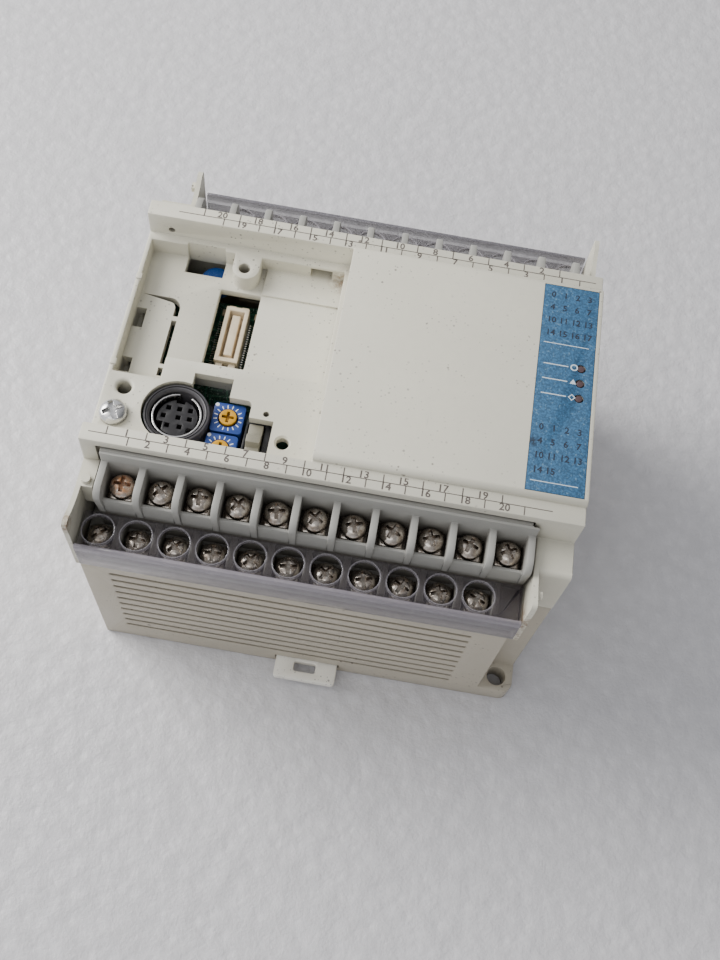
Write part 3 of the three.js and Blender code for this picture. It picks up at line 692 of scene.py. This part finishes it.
class CONTROLLER_OT_terminal_screws(bpy.types.Operator):
    """Model the terminal screws with their clamp washers and contact plates, on both sides"""
    bl_idname = "controller.terminal_screws"
    bl_label = "Terminal screws"

    def execute(self, context):
        s = settings().terminals
        first = [sum(v) / 2 for v in box_mm("front_upper_screw_1")[:2]]
        steel = plated_metal("screw plating", s.metal, 0.75,
                             rusty=[((first[0], first[1], 65), 3.4)])
        tin = plated_metal("contact plating", toned(s.metal, 0.8), 0.75)
        screw = screw_pattern(s.head / MM, 2.5, 1.75)
        clamp = clamp_pattern(s.washer / MM)
        plate = plate_pattern()
        contact_drop = 1.95  # from a screw's seat down to its contact plate
        for row, row_turn in (("upper", 0), ("lower", 0.7)):
            for i in range(ROW):
                node = f"front_{row}_screw_{i + 1}"
                (x1, x2), (y1, y2), (z1, z2) = box_mm(node)
                x, y, seat = (x1 + x2) / 2, (y1 + y2) / 2, z2 - 2.6
                for side, sign, side_turn in (("front", 1, 0), ("back", -1, 1.1)):
                    label = f"{side}_{row}_{i + 1}"
                    turn = (i * 2.4 + row_turn + side_turn) % (2 * math.pi)
                    made = copied(screw, f"screw_{label}", sign * x, sign * y, seat + 0.05, turn)
                    dress(made, steel)
                    if sign > 0:
                        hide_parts(node)
                    facing_turn = 0.0 if sign > 0 else math.pi
                    dress(copied(clamp, f"clamp_{label}", sign * x, sign * y, seat - 0.9,
                                 facing_turn + 0.06 * math.sin(5 * i)), steel)
                    dress(copied(plate, f"contact_{label}", sign * x, sign * y, seat - contact_drop,
                                 facing_turn), tin)
        discard(screw, clamp, plate)
        return {"FINISHED"}


class CONTROLLER_OT_earth_screw(bpy.types.Operator):
    """Model the earth screw on the port deck"""
    bl_idname = "controller.earth_screw"
    bl_label = "Earth screw"

    def execute(self, context):
        (x1, x2), (y1, y2), (z1, z2) = box_mm("ground_screw")
        pattern = screw_pattern(2.8, 2.0, 2.15)
        made = copied(pattern, "earth_screw", (x1 + x2) / 2, (y1 + y2) / 2, z2 - 2.1, 0.5)
        dress(made, plated_metal("bright zinc", (0.78, 0.78, 0.77), 0.12))
        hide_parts("ground_screw")
        discard(pattern)
        return {"FINISHED"}


def strip_row(first, y, z, step, sign):
    """Ticks across half a marking strip, one between each two terminals."""
    low, high = y
    return [rule((sign * (first + i * step) - 0.11, sign * (first + i * step) + 0.11), (low, high), z)
            for i in range(ROW)]


class CONTROLLER_OT_strip_print(bpy.types.Operator):
    """Print the terminal numbers and their dividing lines on both marking strips"""
    bl_idname = "controller.strip_print"
    bl_label = "Terminal numbers"

    def execute(self, context):
        case, terminals = settings().case, settings().terminals
        pitch = terminals.pitch / MM
        first, top = -44.9, 73.4
        shift = pitch / 2 + 0.6  # from the inner row of numbers to the outer one
        for side, sign in (("front", 1), ("back", -1)):
            inner, middle, outer = (sign * y for y in (-26.4, -28.1, -29.9))
            span = sorted((sign * -48.4, sign * 43.4))
            marks = [rule(span, sorted((middle - 0.09, middle + 0.09)), top)]
            marks += strip_row(first, sorted((inner, middle)), top, pitch, sign)
            marks += strip_row(first + shift, sorted((middle, outer)), top, pitch, sign)
            for i in range(ROW - 1):
                x = first + (i + 0.5) * pitch
                for number, at, y in ((2 * i + 1, x, (inner + middle) / 2),
                                      (2 * i + 2, x + shift, (middle + outer) / 2)):
                    marks.append(digits(str(number), case.digit / MM, sign * at, y, top + 0.01))
            dress(merge(f"{side}_strip_print", marks), ink(f"{side} strip ink", case.print_colour))
        return {"FINISHED"}


class CONTROLLER_OT_status_label(bpy.types.Operator):
    """Make the status label: film, channel numbers, rules, signs and the three lamps"""
    bl_idname = "controller.status_label"
    bl_label = "Status label"

    def execute(self, context):
        s = settings().label
        film = from_node("status_label", "status_film", 0.08)
        dress(film, label_film("blue film"))
        (x1, x2), (y1, y2), (z1, top) = box_mm("status_label")
        dark, light = [], []
        columns = [x1 + 2 + 2.6 * i for i in range(4)]
        for start, first_row in ((y2 - 2.5, 0), (y1 + 14.4, 1)):
            for row in range(4):
                for column in range(4 if not (first_row and row == 3) else 2):
                    channel = row * 4 + column
                    name = str(channel if channel < 8 else channel + 2)
                    dark.append(digits(name, s.digit / MM, columns[column], start - row * 3.25, top + 0.01))
        light.append(rule((x1 + 0.8, x2 - 1.4), (y2 - 14.9, y2 - 14.72), top))
        light.append(rule((x1 + 0.8, x2 - 1.4), (y1 + 2.1, y1 + 2.28), top))
        lamps = [sum(box_mm(n)[1]) / 2 for n in ("power_lamp", "run_lamp", "error_lamp")]
        for y, kind in zip(lamps, ("power", "run", "fault")):
            light.append(rule((x1 + 1.2, x1 + 6.4), (y - 0.12, y + 0.12), top))
            sides = {"power": 20, "run": 3, "fault": 4}[kind]
            sign = round_bar("sign", (x1 + 7.6, y), (top, top + 0.02), 0.8, sides)
            if kind != "run":
                carve(sign, round_bar("hole", (x1 + 7.6, y), (top - 1, top + 1), 0.52, sides))
            light.append(sign)
        dress(merge("label_numbers", dark), ink("label dark ink", s.ink))
        dress(merge("label_signs", light), ink("label light ink", s.rule))
        lens = lens_plastic("unlit lens")
        for name in ("power", "run", "error"):
            dress(from_node(f"{name}_lamp", f"{name}_lens", 0.12, 3), lens)
        return {"FINISHED"}


class CONTROLLER_OT_port(bpy.types.Operator):
    """Model the round port: stepped body, spring shield and contact core"""
    bl_idname = "controller.port"
    bl_label = "Round port"

    def execute(self, context):
        s = settings().controls
        rim = smooth_plastic("port rim", toned(s.socket, 1.5), 0.42, 0.1)
        body = dress(from_node("port_socket_body", "port_body", 0.18), rim)
        (x1, x2), (y1, y2), (z1, top) = box_mm("port_socket_body")
        x, y = (x1 + x2) / 2, (y1 + y2) / 2
        groove = round_bar("groove", (x, y), (top - 0.35, top + 1), 6.35, 48)
        carve(groove, round_bar("groove_core", (x, y), (top - 2, top + 2), 6.12, 48))
        carve(body, groove)
        smoothed(body)
        shield = from_node("port_socket_shield", "port_shield", 0.05)
        dress(shield, plated_metal("shield plating", (0.75, 0.74, 0.72), 0.1))
        core = from_node("port_socket_core", "port_core", 0.1)
        dress(core, smooth_plastic("port core", toned(s.socket, 0.45), 0.4, 0.05))
        return {"FINISHED"}


class CONTROLLER_OT_trimmers(bpy.types.Operator):
    """Model the trimmers and print the dial round each rotor"""
    bl_idname = "controller.trimmers"
    bl_label = "Trimmers"

    def execute(self, context):
        s = settings().controls
        for i in (1, 2):
            (x1, x2), (y1, y2), _ = box_mm(f"trimmer_{i}_body")
            centre = ((x1 + x2) / 2, (y1 + y2) / 2)
            blue = smooth_plastic(f"trimmer {i} body", s.trimmer, 0.4, 0.06,
                                  dial_print(centre, (2.25, 3.0), 16, (-2.75, 2.8)))
            dress(from_node(f"trimmer_{i}_body", f"trimmer_{i}_case", 0.15), blue)
            yellow = smooth_plastic(f"trimmer {i} rotor", s.rotor, 0.35, 0.08)
            dress(from_node(f"trimmer_{i}_rotor", f"trimmer_{i}_knob", 0.07), yellow,
                  f"trimmer_{i}_turn")
        return {"FINISHED"}


class CONTROLLER_OT_run_switch(bpy.types.Operator):
    """Model the run switch and its lever"""
    bl_idname = "controller.run_switch"
    bl_label = "Run switch"

    def execute(self, context):
        s = settings().controls
        dress(from_node("run_switch_body", "switch_case", 0.12),
              smooth_plastic("switch case", (0.02, 0.02, 0.022)))
        dress(from_node("run_switch_slider", "switch_lever", 0.2),
              smooth_plastic("switch lever", s.switch, 0.45), "run_slider")
        return {"FINISHED"}


def lead_pattern():
    """One tinned lead: out of the connector, down, and along its pad."""
    def extrude(x, z):
        return lambda: bpy.ops.mesh.extrude_region_move(TRANSFORM_OT_translate={"value": (x * MM, 0, z * MM)})

    lead = brick("lead_pattern", (0, 0.6), (-0.14, 0.14), (0.5, 0.72))
    edit(lead, "FACE", facing((1, 0, 0)), extrude(0.18, -0.46), extrude(1.0, 0))
    rounded(lead, 0.03, 1, 25)
    smoothed(lead)
    return lead


class CONTROLLER_OT_option_connector(bpy.types.Operator):
    """Model the option connector and its two rows of leads"""
    bl_idname = "controller.option_connector"
    bl_label = "Option connector"

    def execute(self, context):
        s = settings().controls
        body = from_node("option_connector", "connector_body", 0.12)
        dress(body, smooth_plastic("connector plastic", s.connector, 0.42, 0.12))
        (x1, x2), (y1, y2), _ = box_mm("option_connector")
        board_top = box_mm("main_board")[2][1]
        pattern = lead_pattern()
        leads = []
        count = 20
        for i in range(count):
            y = y1 + 2.2 + i * (y2 - y1 - 4.4) / (count - 1)
            leads.append(copied(pattern, "lead", x2 + 0.02, y, board_top + 0.02))
            leads.append(copied(pattern, "lead", x1 - 0.02, y, board_top + 0.02, math.pi))
        discard(pattern)
        tin = plated_metal("tinned leads", (0.85, 0.84, 0.78), 0.05)
        dress(merge("connector_leads", leads), tin)
        return {"FINISHED"}


def chip(name, x, y, z, size, height):
    """A small board part with bevelled edges and a slightly raised top."""
    half_x, half_y = size[0] / 2, size[1] / 2
    part = brick(name, (x - half_x, x + half_x), (y - half_y, y + half_y), (z, z + height))
    edit(part, "FACE", facing((0, 0, 1)), lambda: bpy.ops.mesh.inset(thickness=0.12 * MM),
         lambda: bpy.ops.transform.translate(value=(0, 0, 0.05 * MM)))
    rounded(part, 0.06, 2, 25)
    smoothed(part)
    return part


class CONTROLLER_OT_boards(bpy.types.Operator):
    """Finish the two boards and the parts that stand on them"""
    bl_idname = "controller.boards"
    bl_label = "Boards"

    def execute(self, context):
        s = settings().controls
        board = circuit_board("solder mask", s.board)
        for node in ("main_board", "power_board"):
            dress(from_node(node, node + "_sheet", 0.05), board)
        top = box_mm("main_board")[2][1] + 0.02
        dark = smooth_plastic("chip epoxy", (0.02, 0.02, 0.022), 0.5, 0.15)
        pale = smooth_plastic("chip ceramic", (0.5, 0.4, 0.26), 0.4, 0.1)
        spots = [  # place and size of each small part seen through the windows
            (-30.6, -8.6, (1.6, 0.8), pale), (-28.2, -8.6, (1.6, 0.8), dark), (-25.9, -8.7, (1.6, 0.8), pale),
            (-28.8, -10.2, (2.6, 1.2), dark), (-25.6, -10.4, (1.0, 1.6), pale),
            (-31.4, 15.6, (0.8, 1.6), pale), (-27.6, 16, (2.0, 1.0), dark), (-24, 15.7, (1.0, 1.6), pale),
            (-31.4, -1.2, (1, 1), pale), (-24.2, -1.2, (0.9, 1.4), pale),
        ]
        for i, (x, y, size, look) in enumerate(spots):
            dress(chip(f"board_part_{i + 1}", x, y, top, size, 0.55), look)
        sleeve = smooth_plastic("capacitor sleeve", (0.015, 0.02, 0.045), 0.3)
        lacquer = smooth_plastic("disc lacquer", (0.01, 0.06, 0.24), 0.25, 0.05)
        relay = smooth_plastic("relay case", (0.02, 0.022, 0.028), 0.35)
        finishes = {
            "transformer_core": (plated_metal("core steel", (0.16, 0.16, 0.17), 0.4), "core_steel"),
            "transformer_winding": (smooth_plastic("winding tape", (0.65, 0.43, 0.08), 0.4), "winding"),
            "bulk_capacitor": (sleeve, "bulk_capacitor"),
            "disc_capacitor": (lacquer, "disc_capacitor"),
            **{f"relay_{i}": (relay, "relay") for i in range(1, 5)},
        }
        for node, (look, slot) in finishes.items():
            dress(from_node(node, node + "_part", 0.25), look)
        return {"FINISHED"}


class CONTROLLER_OT_stage(bpy.types.Operator):
    """Set up the floor, the lights and the camera"""
    bl_idname = "controller.stage"
    bl_label = "Floor, light and camera"

    def execute(self, context):
        s = settings().stage
        bpy.ops.object.select_all(action="DESELECT")
        bpy.ops.mesh.primitive_plane_add(size=4, location=(0, 0, -0.05 * MM))
        floor = context.object
        floor.name = "floor"
        settle(floor)
        f = Finish("pale floor")
        foam = f.cells(3.4, choices={"feature": "SMOOTH_F1"}) + f.noise(1.4, 3, 0.6) * 0.6
        tone = f.mix(foam.ramp(0.4, 1.0), toned(s.floor, 1.05), toned(s.floor, 0.95))
        floor.data.materials.append(f.surface(base_color=tone, roughness=0.4, normal=f.bump(foam, 0.8, 0.5)))

        world = bpy.data.worlds.new("room")
        context.scene.world = world
        world.use_nodes = True
        room = world.node_tree.nodes["Background"]
        room.inputs["Color"].default_value = (0.95, 0.96, 1, 1)
        nodes, links = world.node_tree.nodes, world.node_tree.links
        side = nodes.new("ShaderNodeSeparateXYZ")
        fall = nodes.new("ShaderNodeMapRange")
        links.new(nodes.new("ShaderNodeTexCoord").outputs["Generated"], side.inputs[0])
        links.new(side.outputs["X"], fall.inputs["Value"])
        limits = {"From Min": -0.6, "From Max": 0.9, "To Min": s.room, "To Max": s.room * 0.16}
        for key, given in limits.items():
            fall.inputs[key].default_value = given
        links.new(fall.outputs["Result"], room.inputs["Strength"])

        def area(name, place, size, power, rgb):
            light = bpy.data.lights.new(name, "AREA")
            light.shape, light.size, light.energy, light.color = "DISK", size, power, rgb
            o = bpy.data.objects.new(name, light)
            context.scene.collection.objects.link(o)
            o.location = place
            o.rotation_euler = (Vector((0, 0, 0.04)) - o.location).to_track_quat("-Z", "Y").to_euler()

        area("window", (-0.62, 0.18, 0.5), 0.55, s.key, (1, 0.985, 0.96))
        area("fill", (-0.15, -0.5, 0.75), 0.5, s.key * 0.1, (0.96, 0.98, 1))

        camera = bpy.data.cameras.new("camera")
        camera.lens, camera.sensor_width = s.lens, 36
        camera.clip_start, camera.clip_end = 0.01, 10
        o = bpy.data.objects.new("camera", camera)
        context.scene.collection.objects.link(o)
        o.location, o.rotation_euler = s.place, s.turn
        context.scene.camera = o
        return {"FINISHED"}


STEPS = (CONTROLLER_OT_cases, CONTROLLER_OT_latch, CONTROLLER_OT_terminal_blocks,
         CONTROLLER_OT_terminal_screws, CONTROLLER_OT_earth_screw, CONTROLLER_OT_strip_print,
         CONTROLLER_OT_status_label, CONTROLLER_OT_port, CONTROLLER_OT_trimmers, CONTROLLER_OT_run_switch,
         CONTROLLER_OT_option_connector, CONTROLLER_OT_boards, CONTROLLER_OT_stage)


class CONTROLLER_PT_panel(bpy.types.Panel):
    """Lists the controller's pieces and their settings"""
    bl_label = "Controller"
    bl_space_type = "VIEW_3D"
    bl_region_type = "UI"
    bl_category = "Controller"

    def draw(self, context):
        for step in STEPS:
            self.layout.operator(step.bl_idname)
        for group in ("case", "terminals", "controls", "label", "stage"):
            values = getattr(context.scene.controller, group)
            column = self.layout.column(heading=group.title())
            for key in values.bl_rna.properties.keys():
                if key not in ("rna_type", "name"):
                    column.prop(values, key)


CLASSES = (CaseSettings, TerminalSettings, ControlSettings, LabelSettings, StageSettings, ControllerSettings,
           *STEPS, CONTROLLER_PT_panel)


def register():
    for each in CLASSES:
        bpy.utils.register_class(each)
    bpy.types.Scene.controller = PointerProperty(type=ControllerSettings)


def unregister():
    del bpy.types.Scene.controller
    for each in reversed(CLASSES):
        bpy.utils.unregister_class(each)


def main():
    register()
    for step in STEPS:
        group, name = step.bl_idname.split(".")
        if getattr(getattr(bpy.ops, group), name)() != {"FINISHED"}:
            raise RuntimeError(step.bl_label + " did not finish")


if __name__ == "__main__":
    main()
